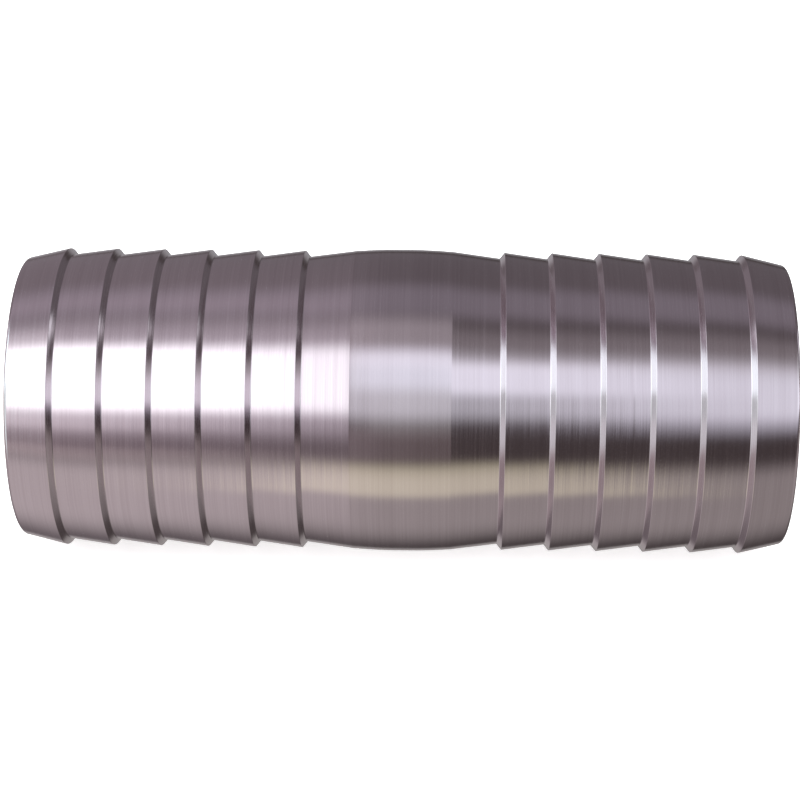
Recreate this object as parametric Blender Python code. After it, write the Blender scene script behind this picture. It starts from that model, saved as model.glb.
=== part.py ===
"""Straight hose mender for 1 1/2 in hose: one stainless steel tube, turned to a barbed shank on each side of a collar.

The tube lies along X with its origin at mid length on the axis. Lengths are in metres.
"""

import math

import bmesh
import bpy
from mathutils import Matrix, Vector

# Driving dimensions
LENGTH = 0.1016  # 4 in from end face to end face
BARB_PITCH = 0.00635  # 1/4 in from crest to crest
BARBS_PER_END = 6
FIRST_CREST = 0.0133  # from mid length to the crest nearest the collar

COLLAR_DIAMETER = 0.0406
COLLAR_WIDTH = 0.0130
COLLAR_FLAT = 0.0060  # the middle of the collar, where it is a plain cylinder
COLLAR_EDGE_DIAMETER = 0.04016  # the collar falls a little to its two edges
CREST_DIAMETER = 0.0401
ROOT_DIAMETER = 0.0385
NOSE_DIAMETER = 0.0374  # at the end face, before its corner is rounded off
BORE_DIAMETER = 0.0346  # leaves a 3 mm wall at the collar

BACK_FACE_RUN = 0.0005  # axial run of a barb's steep face, which looks at the collar
CREST_LAND = 0.00012  # axial width of the flat that the tool leaves on a crest
ROOT_LAND = 0.00018  # axial width of the flat at the foot of a back face
NOSE_CORNER = 0.0006  # radius of the rounded corner at the end face
NOSE_CORNER_STEPS = 3
BORE_CHAMFER = 0.0003

TURN_STEPS = 60  # flats around the tube

STEEL_COLOUR = (0.62, 0.58, 0.60, 1.0)
STEEL_ROUGHNESS = 0.28


def clear_scene():
    for obj in list(bpy.data.objects):
        bpy.data.objects.remove(obj)


def steel():
    material = bpy.data.materials.new("turned_steel")
    material.use_nodes = True
    shader = material.node_tree.nodes["Principled BSDF"]
    shader.inputs["Base Color"].default_value = STEEL_COLOUR
    shader.inputs["Metallic"].default_value = 1.0
    shader.inputs["Roughness"].default_value = STEEL_ROUGHNESS
    return material


def barb_points(crest_x):
    """Foot and crest of one barb, as (distance from mid length, radius). Its steep back face looks at the collar."""
    crest, root = CREST_DIAMETER / 2, ROOT_DIAMETER / 2
    foot_x = crest_x - BACK_FACE_RUN
    return [
        (foot_x - ROOT_LAND, root),
        (foot_x, root),
        (crest_x, crest),
        (crest_x + CREST_LAND, crest),
    ]


def nose_points():
    """The rounded corner at the end of the last cone, then the chamfered mouth of the bore."""
    end, bore = LENGTH / 2, BORE_DIAMETER / 2
    centre_x = end - NOSE_CORNER
    centre_r = NOSE_DIAMETER / 2 - NOSE_CORNER
    corner = []
    for step in range(NOSE_CORNER_STEPS + 1):
        angle = math.radians(90) * (1 - step / NOSE_CORNER_STEPS)
        corner.append((centre_x + NOSE_CORNER * math.cos(angle), centre_r + NOSE_CORNER * math.sin(angle)))
    return corner + [(end, bore + BORE_CHAMFER), (end - BORE_CHAMFER, bore)]


def half_profile():
    """One half of the tube's section, from the collar out over the barbs and the nose and into the bore."""
    points = [(COLLAR_FLAT / 2, COLLAR_DIAMETER / 2), (COLLAR_WIDTH / 2, COLLAR_EDGE_DIAMETER / 2)]
    for barb in range(BARBS_PER_END):
        points += barb_points(FIRST_CREST + barb * BARB_PITCH)
    return points + nose_points()


def turned_mesh(name, profile):
    """A closed section spun about X, with a flat rather than an edge at the very bottom."""
    mesh = bpy.data.meshes.new(name)
    bm = bmesh.new()
    ring = [bm.verts.new((x, 0.0, r)) for x, r in profile]
    edges = [bm.edges.new((ring[i], ring[(i + 1) % len(ring)])) for i in range(len(ring))]
    half_flat = Matrix.Rotation(math.pi / TURN_STEPS, 3, "X")
    bmesh.ops.rotate(bm, verts=ring, cent=Vector(), matrix=half_flat)
    bmesh.ops.spin(
        bm, geom=ring + edges, cent=Vector(), axis=(1, 0, 0), angle=2 * math.pi, steps=TURN_STEPS, use_merge=True
    )
    bmesh.ops.recalc_face_normals(bm, faces=bm.faces)
    bm.to_mesh(mesh)
    bm.free()
    return mesh


def mender_tube():
    half = half_profile()
    mirrored = [(-x, r) for x, r in reversed(half)]
    mesh = turned_mesh("mender_tube", half + mirrored)
    mesh.materials.append(steel())
    mesh.shade_smooth()
    mesh.set_sharp_from_angle(angle=math.radians(20))
    tube = bpy.data.objects.new("mender_tube", mesh)
    bpy.context.scene.collection.objects.link(tube)
    return tube


def main():
    clear_scene()
    mender_tube()


main()
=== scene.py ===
"""Looks of the hose mender: a turned steel tube on a pale floor in soft studio light. Metres, +Z up."""

import math
from collections import namedtuple

import bpy
import numpy as np
from mathutils import Matrix, Vector


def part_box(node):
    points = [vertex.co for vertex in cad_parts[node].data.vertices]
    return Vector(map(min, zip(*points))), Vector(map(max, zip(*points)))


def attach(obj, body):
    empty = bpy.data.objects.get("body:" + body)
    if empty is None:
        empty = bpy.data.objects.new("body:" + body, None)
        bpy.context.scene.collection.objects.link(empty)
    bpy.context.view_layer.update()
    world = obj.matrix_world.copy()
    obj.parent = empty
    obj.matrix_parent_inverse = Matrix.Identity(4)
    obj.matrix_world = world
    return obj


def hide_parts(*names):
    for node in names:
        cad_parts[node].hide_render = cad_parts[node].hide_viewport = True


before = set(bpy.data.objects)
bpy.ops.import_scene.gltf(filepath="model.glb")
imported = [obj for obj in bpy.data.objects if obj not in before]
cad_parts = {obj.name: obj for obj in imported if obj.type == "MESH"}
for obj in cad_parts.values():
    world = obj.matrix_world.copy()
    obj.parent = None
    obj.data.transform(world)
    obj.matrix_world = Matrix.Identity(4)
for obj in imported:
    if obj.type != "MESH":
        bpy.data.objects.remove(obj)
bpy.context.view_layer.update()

# The tube, as the CAD has it
CAD_FLATS = 60
_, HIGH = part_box("mender_tube")
HALF_LENGTH = HIGH.x
COLLAR_RADIUS = HIGH.z / math.cos(math.pi / CAD_FLATS)
COLLAR_HALF_FLAT = 0.0030
COLLAR_HALF_WIDTH = 0.0065
COLLAR_EDGE_RADIUS = 0.02008
BARB_PITCH = 0.00635
BARBS_PER_END = 6
FIRST_CREST = 0.0133
CREST_RADIUS = 0.02005
ROOT_RADIUS = 0.01925
NOSE_RADIUS = 0.0187
BORE_RADIUS = 0.0173
BORE_TOLERANCE = 0.00001
BACK_FACE_RUN = 0.0005
CREST_LAND = 0.00012
ROOT_LAND = 0.00018
BORE_CHAMFER = 0.0003

# The radius that each corner of the section is rounded to
COLLAR_CROWN = 0.0600
COLLAR_ROUND = 0.0015
ROOT_ROUND = 0.00014
CREST_ROUND = 0.00007
NOSE_ROUND = 0.0006
CHAMFER_ROUND = 0.00006

# How finely the section is cut and turned
ARC_STEP = math.radians(9)
FEWEST_ARC_STEPS = 3
EDGE_LOOP = 0.00004
LONGEST_STEP = 0.0009
TURN_STEPS = 288

# Turned steel outside. Its marks change fast along the section and slowly round the tube, as a lathe's do
STEEL_DARK = (0.545, 0.450, 0.480, 1)
STEEL_LIGHT = (0.80, 0.69, 0.73, 1)
FINE_MARKS = {"per_metre": 4200, "round_scale": 30, "detail": 2.0, "seed": 3.0}
BROAD_MARKS = {"per_metre": 900, "round_scale": 16, "detail": 1.0, "seed": 11.0}
MARK_NOISE_ROUGHNESS = 0.6
FINE_HEIGHT = 0.6
BROAD_HEIGHT = 1.6
MARK_DEPTH = 0.000006
FINE_SHADE = 0.45
BROAD_SHADE = 0.30
STEEL_ROUGHNESS = 0.095
STEEL_ROUGHNESS_SPREAD = 0.10
STEEL_ANISOTROPIC = 0.10
STEEL_ANISOTROPIC_ROTATION = 0.25

# Drawn steel in the bore. Its marks are stretched along the tube
BORE_DARK = (0.46, 0.41, 0.43, 1)
BORE_LIGHT = (0.74, 0.68, 0.70, 1)
BORE_METALLIC = 0.8
BORE_ROUGHNESS = 0.28
BORE_ROUGHNESS_SPREAD = 0.2
DRAWN_SCALE = (60, 1400, 1400)
DRAWN_DETAIL = 2.0
DRAWN_DEPTH = 0.00002
DRAWN_SHADE = 0.5
BLOTCH_SCALE = 260.0
BLOTCH_DETAIL = 3.0
BLOTCH_SHADE = 0.5

# Floor and room
FLOOR_HALF_SIDE = 4.0
FLOOR_GREY = (0.92, 0.92, 0.92, 1)
FLOOR_ROUGHNESS = 0.9
FLOOR_GLOW = 0.6
WHITE = (1, 1, 1, 1)
WHITE_STRENGTH = 2.0

# Camera
CAMERA_AZIMUTH = math.radians(1.47)
CAMERA_ELEVATION = math.radians(28.3)
CAMERA_DISTANCE = 0.3105
CAMERA_LENS = 103.3
CAMERA_SENSOR = 36.0
CAMERA_SHIFT_X = -0.0046
CAMERA_CLIP = (0.01, 20)

# The studio that the metal mirrors: soft boxes, cards and a floor. All are far away, so each is a range of
# directions, in degrees. "around" turns about the tube: 0 is level in front, 90 overhead, 180 level behind,
# and minus is below. "side" leans along the tube, and minus is left. Each edge fades over its softness on
# both sides: "softness" has one for each edge of "around", and "side_softness" is for both edges of "side".
OPEN = 400  # past every angle, so there is no edge
SoftBox = namedtuple("SoftBox", "around softness side side_softness colour")
SOFT_BOXES = {
    "room": SoftBox((-OPEN, OPEN), (10, 10), (-OPEN, OPEN), 10, (0.07, 0.06, 0.06)),
    "room left": SoftBox((-OPEN, OPEN), (10, 10), (-OPEN, -8), 14, (0.10, 0.09, 0.10)),
    "room above": SoftBox((90, 190), (20, 20), (-OPEN, OPEN), 10, (0.08, 0.08, 0.09)),
    "glow above": SoftBox((96, 125), (10, 12), (-OPEN, 34), 3, (0.10, 0.10, 0.12)),
    "glow above left": SoftBox((104, 116), (9, 12), (-OPEN, -14), 5, (0.07, 0.06, 0.07)),
    "key left": SoftBox((17, 70), (9, 10), (-41, -13.8), 1.5, (0.96, 1.08, 1.10)),
    "key left outer": SoftBox((19, 68.5), (9, 10), (-41, -20.5), 2.5, (0.90, 1.00, 1.00)),
    "key left spill": SoftBox((0, 90), (14, 16), (-41, -15), 2, (0.36, 0.36, 0.40)),
    "key left low": SoftBox((1, 20), (6, 6), (-41, -22), 3, (0.30, 0.31, 0.31)),
    "key left corner": SoftBox((20, 83), (6, 12), (-41, -26), 4, (0.30, 0.32, 0.32)),
    "key far left": SoftBox((42, 96), (8, 12), (-OPEN, -42), 2, (1.75, 2.35, 2.35)),
    "key far left low": SoftBox((-33, 42), (14, 8), (-OPEN, -42), 2, (0.78, 1.05, 1.02)),
    "fill left": SoftBox((-20, 4), (8, 10), (-OPEN, -20), 3, (0.06, 0.05, 0.06)),
    "fill left corner": SoftBox((-22, 8), (8, 10), (-OPEN, -25), 3, (0.10, 0.09, 0.09)),
    "key wide": SoftBox((14, 62), (10, 13), (-14, OPEN), 4, (0.48, 0.54, 0.58)),
    "key middle": SoftBox((36, 66.5), (9, 9), (-11, 11), 4, (0.51, 0.59, 0.66)),
    "key middle low": SoftBox((4, 36), (10, 9), (-8.5, 10), 4, (0.20, 0.22, 0.22)),
    "key middle right": SoftBox((33, 57.5), (7, 8), (10, 19.5), 3, (0.62, 0.69, 0.77)),
    "key middle upper": SoftBox((56, 92), (10, 12), (-14, 10), 3, (0.32, 0.32, 0.34)),
    "fill middle": SoftBox((-20, 6), (8, 8), (-14, 11), 3, (0.09, 0.08, 0.08)),
    "key right upper": SoftBox((54, 84), (9, 12), (10, OPEN), 4, (0.18, 0.18, 0.19)),
    "key right": SoftBox((4, 54), (10, 12), (19.3, OPEN), 1.5, (0.40, 0.44, 0.50)),
    "key far right": SoftBox((17, 78), (7, 7), (39, OPEN), 3, (0.36, 0.44, 0.43)),
    "warm card": SoftBox((-50, -22), (6, 8), (-17.2, 17.2), 1, (0.36, 0.38, 0.23)),
    "floor": SoftBox((-102, -27), (30, 14), (-OPEN, OPEN), 5, (0.27, 0.27, 0.26)),
    "floor middle": SoftBox((-102, -24), (30, 13), (-OPEN, 14), 10, (0.06, 0.06, 0.06)),
    "floor left edge": SoftBox((-24, -14), (5, 4), (-42, -20), 3, (0.15, 0.14, 0.13)),
    "floor left": SoftBox((-102, -24), (30, 13), (-42, -14), 8, (0.10, 0.10, 0.10)),
    "floor far right": SoftBox((-175, -45), (10, 16), (34, OPEN), 5, (0.07, 0.07, 0.07)),
    "floor far left": SoftBox((-175, -115), (10, 20), (-OPEN, -46), 4, (0.40, 0.40, 0.40)),
    "back card": SoftBox((-172, -150), (5, 8), (-OPEN, OPEN), 10, (0.26, 0.27, 0.28)),
    "floor behind": SoftBox((-150, -129), (5, 4), (-OPEN, OPEN), 10, (0.28, 0.28, 0.27)),
    "back window": SoftBox((116, 156), (12, 14), (58, OPEN), 3, (1.00, 1.10, 1.15)),
    "back window left": SoftBox((120, 160), (12, 14), (-OPEN, -58), 3, (0.90, 1.00, 1.05)),
}


# ---------------------------------------------------------------- shape


def corners():
    """The section's corners as (x, radius, rounding), from the left mouth over the outside to the right."""
    half = [
        (COLLAR_HALF_FLAT, COLLAR_RADIUS, COLLAR_CROWN),
        (COLLAR_HALF_WIDTH, COLLAR_EDGE_RADIUS, COLLAR_ROUND),
    ]
    for barb in range(BARBS_PER_END):
        crest_x = FIRST_CREST + barb * BARB_PITCH
        foot_x = crest_x - BACK_FACE_RUN
        half += [
            (foot_x - ROOT_LAND / 2, ROOT_RADIUS, ROOT_ROUND),
            (crest_x + CREST_LAND / 2, CREST_RADIUS, CREST_ROUND),
        ]
    half += [
        (HALF_LENGTH, NOSE_RADIUS, NOSE_ROUND),
        (HALF_LENGTH, BORE_RADIUS + BORE_CHAMFER, CHAMFER_ROUND),
        (HALF_LENGTH - BORE_CHAMFER, BORE_RADIUS, CHAMFER_ROUND),
    ]
    return [(-x, r, rounding) for x, r, rounding in reversed(half)] + half


def rounded_corner(before, corner, after, radius):
    """An arc that blends the corner, with a close point on each side that keeps the straights straight."""
    towards_before = (before - corner).normalized()
    towards_after = (after - corner).normalized()
    between = towards_before.angle(towards_after)
    reach = radius / math.tan(between / 2)
    centre = corner + (towards_before + towards_after).normalized() * radius / math.sin(between / 2)
    start = corner + towards_before * reach
    end = corner + towards_after * reach
    turn = (start - centre).angle_signed(end - centre)
    steps = max(FEWEST_ARC_STEPS, math.ceil(abs(turn) / ARC_STEP))
    arc = [centre + Matrix.Rotation(-turn * step / steps, 2) @ (start - centre) for step in range(steps + 1)]
    return [start + towards_before * EDGE_LOOP, *arc, end + towards_after * EDGE_LOOP]


def section():
    """The whole closed section as an array of (x, radius), with no straight longer than LONGEST_STEP."""
    sharp = [(Vector((x, r)), rounding) for x, r, rounding in corners()]
    rounded = []
    for i, (corner, rounding) in enumerate(sharp):
        before = sharp[i - 1][0]
        after = sharp[(i + 1) % len(sharp)][0]
        rounded += rounded_corner(before, corner, after, rounding)
    points = []
    for i, point in enumerate(rounded):
        following = rounded[(i + 1) % len(rounded)]
        pieces = max(1, math.ceil((following - point).length / LONGEST_STEP))
        points += [tuple(point.lerp(following, k / pieces)) for k in range(pieces)]
    return np.array(points)


def turned_faces(ring_count):
    """One quad between each two rings and each two steps of the turn."""
    ring, step = np.meshgrid(np.arange(ring_count), np.arange(TURN_STEPS), indexing="ij")
    next_ring = (ring + 1) % ring_count * TURN_STEPS
    next_step = (step + 1) % TURN_STEPS
    ring = ring * TURN_STEPS
    quads = [ring + step, ring + next_step, next_ring + next_step, next_ring + step]
    return np.stack(quads, -1).reshape(-1, 4)


def turned_tube():
    rings = section()
    angles = np.arange(TURN_STEPS) * 2 * math.pi / TURN_STEPS
    x = np.repeat(rings[:, 0], TURN_STEPS)
    y = np.outer(rings[:, 1], np.cos(angles)).ravel()
    z = np.outer(rings[:, 1], np.sin(angles)).ravel()
    mesh = bpy.data.meshes.new("turned_tube")
    mesh.from_pydata(np.stack([x, y, z], 1).tolist(), [], turned_faces(len(rings)).tolist())
    mesh.update()
    mesh.shade_smooth()
    store_along(mesh, rings)
    mesh.materials.append(turned_steel())
    mesh.materials.append(bore_steel())
    store_bore_faces(mesh, rings)
    tube = bpy.data.objects.new("turned_tube", mesh)
    bpy.context.scene.collection.objects.link(tube)
    return tube


def store_along(mesh, rings):
    """Stores for each point how far it lies along the section, which is the way that the tool went."""
    steps = np.linalg.norm(np.roll(rings, -1, axis=0) - rings, axis=1)
    along = np.concatenate([[0.0], np.cumsum(steps)[:-1]])
    attribute = mesh.attributes.new("along", "FLOAT", "POINT")
    attribute.data.foreach_set("value", np.repeat(along, TURN_STEPS).astype(np.float32))


def store_bore_faces(mesh, rings):
    """Gives the bore the second material. The outside, the end faces and the chamfers keep the first."""
    in_bore = rings[:, 1] < BORE_RADIUS + BORE_TOLERANCE
    bore = in_bore & np.roll(in_bore, -1)
    mesh.polygons.foreach_set("material_index", np.repeat(bore.astype(np.int32), TURN_STEPS))


# ---------------------------------------------------------------- materials


class Nodes:
    """A short way to add nodes to a tree."""

    def __init__(self, tree):
        self.tree = tree

    def add(self, kind, settings=None, **inputs):
        """Adds a node. An input is given by its name with _ for each space, or as i0, i1 and so on."""
        node = self.tree.nodes.new(kind)
        for name, value in (settings or {}).items():
            setattr(node, name, value)
        for name, value in inputs.items():
            self.set(node, name.replace("_", " "), value)
        return node

    def set(self, node, name, value):
        by_number = name[0] == "i" and name[1:].isdigit()
        socket = node.inputs[int(name[1:]) if by_number else name]
        if isinstance(value, bpy.types.NodeSocket):
            self.tree.links.new(value, socket)
        else:
            socket.default_value = value

    def math(self, operation, *values):
        node = self.add("ShaderNodeMath", {"operation": operation})
        for i, value in enumerate(values):
            self.set(node, f"i{i}", value)
        return node.outputs[0]

    def vector_math(self, operation, *values, **inputs):
        node = self.add("ShaderNodeVectorMath", {"operation": operation}, **inputs)
        for i, value in enumerate(values):
            self.set(node, f"i{i}", value)
        return node.outputs[0]

    def weighted(self, value_a, weight_a, value_b, weight_b):
        share_a = self.math("MULTIPLY", value_a, weight_a)
        share_b = self.math("MULTIPLY", value_b, weight_b)
        return self.math("ADD", share_a, share_b)

    def noise(self, vector, scale, detail, roughness=0.5):
        node = self.add("ShaderNodeTexNoise", Vector=vector, Scale=scale, Detail=detail, Roughness=roughness)
        return node.outputs["Fac"]

    def mix(self, share, colour_a, colour_b):
        node = self.add("ShaderNodeMix", {"data_type": "RGBA"}, Factor=share)
        node.inputs["A"].default_value = colour_a
        node.inputs["B"].default_value = colour_b
        return node.outputs["Result"]


def new_material(name):
    material = bpy.data.materials.new(name)
    material.use_nodes = True
    return material, Nodes(material.node_tree), material.node_tree.nodes["Principled BSDF"]


def round_marks(nodes, per_metre, round_scale, detail, seed):
    """Noise in grooves that run round the tube, per_metre of them along the section."""
    place = nodes.add("ShaderNodeTexCoord").outputs["Object"]
    split = nodes.add("ShaderNodeSeparateXYZ", Vector=place)
    along = nodes.add("ShaderNodeAttribute", {"attribute_name": "along"}).outputs["Fac"]
    vector = nodes.add(
        "ShaderNodeCombineXYZ",
        X=nodes.math("MULTIPLY", along, per_metre),
        Y=nodes.math("MULTIPLY", split.outputs["Y"], round_scale),
        Z=nodes.math("ADD", nodes.math("MULTIPLY", split.outputs["Z"], round_scale), seed),
    )
    return nodes.noise(vector.outputs[0], 1.0, detail, MARK_NOISE_ROUGHNESS)


def turned_steel():
    """The outside and the end faces: satin steel with fine and broad tool marks that run round the tube."""
    material, nodes, shader = new_material("turned_steel")
    fine = round_marks(nodes, **FINE_MARKS)
    broad = round_marks(nodes, **BROAD_MARKS)
    height = nodes.weighted(fine, FINE_HEIGHT, broad, BROAD_HEIGHT)
    shade = nodes.weighted(fine, FINE_SHADE, broad, BROAD_SHADE)
    bump = nodes.add("ShaderNodeBump", Strength=1.0, Distance=MARK_DEPTH, Height=height)
    tangent = nodes.add("ShaderNodeTangent", {"direction_type": "RADIAL", "axis": "X"})
    roughness = nodes.math("MULTIPLY_ADD", fine, STEEL_ROUGHNESS_SPREAD, STEEL_ROUGHNESS)
    nodes.set(shader, "Base Color", nodes.mix(shade, STEEL_DARK, STEEL_LIGHT))
    nodes.set(shader, "Roughness", roughness)
    nodes.set(shader, "Normal", bump.outputs[0])
    nodes.set(shader, "Metallic", 1.0)
    nodes.set(shader, "Anisotropic", STEEL_ANISOTROPIC)
    nodes.set(shader, "Anisotropic Rotation", STEEL_ANISOTROPIC_ROTATION)
    nodes.set(shader, "Tangent", tangent.outputs[0])
    return material


def bore_steel():
    """The drawn inside of the tube: duller than the outside, with faint marks that run along it."""
    material, nodes, shader = new_material("bore_steel")
    place = nodes.add("ShaderNodeTexCoord").outputs["Object"]
    stretched = nodes.vector_math("MULTIPLY", place, DRAWN_SCALE)
    drawn = nodes.noise(stretched, 1.0, DRAWN_DETAIL)
    blotches = nodes.noise(place, BLOTCH_SCALE, BLOTCH_DETAIL)
    shade = nodes.weighted(drawn, DRAWN_SHADE, blotches, BLOTCH_SHADE)
    bump = nodes.add("ShaderNodeBump", Strength=1.0, Distance=DRAWN_DEPTH, Height=drawn)
    roughness = nodes.math("MULTIPLY_ADD", blotches, BORE_ROUGHNESS_SPREAD, BORE_ROUGHNESS)
    nodes.set(shader, "Base Color", nodes.mix(shade, BORE_DARK, BORE_LIGHT))
    nodes.set(shader, "Roughness", roughness)
    nodes.set(shader, "Normal", bump.outputs[0])
    nodes.set(shader, "Metallic", BORE_METALLIC)
    return material


def floor_grey():
    material, nodes, shader = new_material("pale_floor")
    nodes.set(shader, "Base Color", FLOOR_GREY)
    nodes.set(shader, "Roughness", FLOOR_ROUGHNESS)
    nodes.set(shader, "Specular IOR Level", 0.0)
    nodes.set(shader, "Emission Color", WHITE)
    nodes.set(shader, "Emission Strength", FLOOR_GLOW)
    return material


# ---------------------------------------------------------------- studio


def soft_range(nodes, angle, edges, softness):
    """1 between the two edges, fading to 0 over each edge's softness on both sides of it."""
    shares = []
    for edge, way, soft in zip(edges, (1, -1), softness):
        share = nodes.add(
            "ShaderNodeMapRange",
            {"interpolation_type": "SMOOTHERSTEP"},
            Value=angle,
            From_Min=edge - way * soft,
            From_Max=edge + way * soft,
        )
        shares.append(share.outputs[0])
    return nodes.math("MULTIPLY", *shares)


def mirrored_light(nodes):
    """The sum of the soft boxes, each by its own share in the direction looked at."""
    direction = nodes.add("ShaderNodeTexCoord").outputs["Generated"]
    x, y, z = nodes.add("ShaderNodeSeparateXYZ", Vector=direction).outputs
    front = nodes.math("MULTIPLY", y, -1.0)
    around = nodes.math("MULTIPLY", nodes.math("ARCTAN2", z, front), math.degrees(1))
    side = nodes.math("MULTIPLY", nodes.math("ARCSINE", x), math.degrees(1))
    total = (0, 0, 0)
    for box in SOFT_BOXES.values():
        share = nodes.math(
            "MULTIPLY",
            soft_range(nodes, around, box.around, box.softness),
            soft_range(nodes, side, box.side, (box.side_softness, box.side_softness)),
        )
        total = nodes.vector_math("ADD", total, nodes.vector_math("SCALE", box.colour, Scale=share))
    return total


def studio_world():
    """White to the camera and on the floor. The metal mirrors the soft boxes instead."""
    world = bpy.data.worlds.new("studio")
    bpy.context.scene.world = world
    world.use_nodes = True
    world.cycles.sampling_method = "NONE"
    world.node_tree.nodes.clear()
    nodes = Nodes(world.node_tree)
    mirrored = nodes.add("ShaderNodeBackground", Color=mirrored_light(nodes), Strength=1.0)
    white = nodes.add("ShaderNodeBackground", Color=WHITE, Strength=WHITE_STRENGTH)
    glossy = nodes.add("ShaderNodeLightPath").outputs["Is Glossy Ray"]
    mix = nodes.add("ShaderNodeMixShader", i0=glossy, i1=white.outputs[0], i2=mirrored.outputs[0])
    nodes.add("ShaderNodeOutputWorld", Surface=mix.outputs[0])


def pale_floor():
    """A square that the tube lies on. The metal doesn't mirror it, because SOFT_BOXES has a floor in it."""
    level = -COLLAR_RADIUS
    corner_signs = ((-1, -1), (1, -1), (1, 1), (-1, 1))
    mesh = bpy.data.meshes.new("floor")
    points = [(x * FLOOR_HALF_SIDE, y * FLOOR_HALF_SIDE, level) for x, y in corner_signs]
    mesh.from_pydata(points, [], [(0, 1, 2, 3)])
    mesh.materials.append(floor_grey())
    floor = bpy.data.objects.new("floor", mesh)
    bpy.context.scene.collection.objects.link(floor)
    floor.visible_glossy = False


def camera():
    data = bpy.data.cameras.new("camera")
    data.lens = CAMERA_LENS
    data.sensor_width = CAMERA_SENSOR
    data.shift_x = CAMERA_SHIFT_X
    data.clip_start, data.clip_end = CAMERA_CLIP
    obj = bpy.data.objects.new("camera", data)
    bpy.context.scene.collection.objects.link(obj)
    level = math.cos(CAMERA_ELEVATION)
    back = Vector(
        (level * math.sin(CAMERA_AZIMUTH), -level * math.cos(CAMERA_AZIMUTH), math.sin(CAMERA_ELEVATION))
    )
    obj.location = back * CAMERA_DISTANCE
    obj.rotation_euler = back.to_track_quat("Z", "Y").to_euler()
    bpy.context.scene.camera = obj


bpy.context.scene.view_settings.view_transform = "Standard"
tube = turned_tube()
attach(tube, "root")
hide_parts("mender_tube")
pale_floor()
studio_world()
camera()
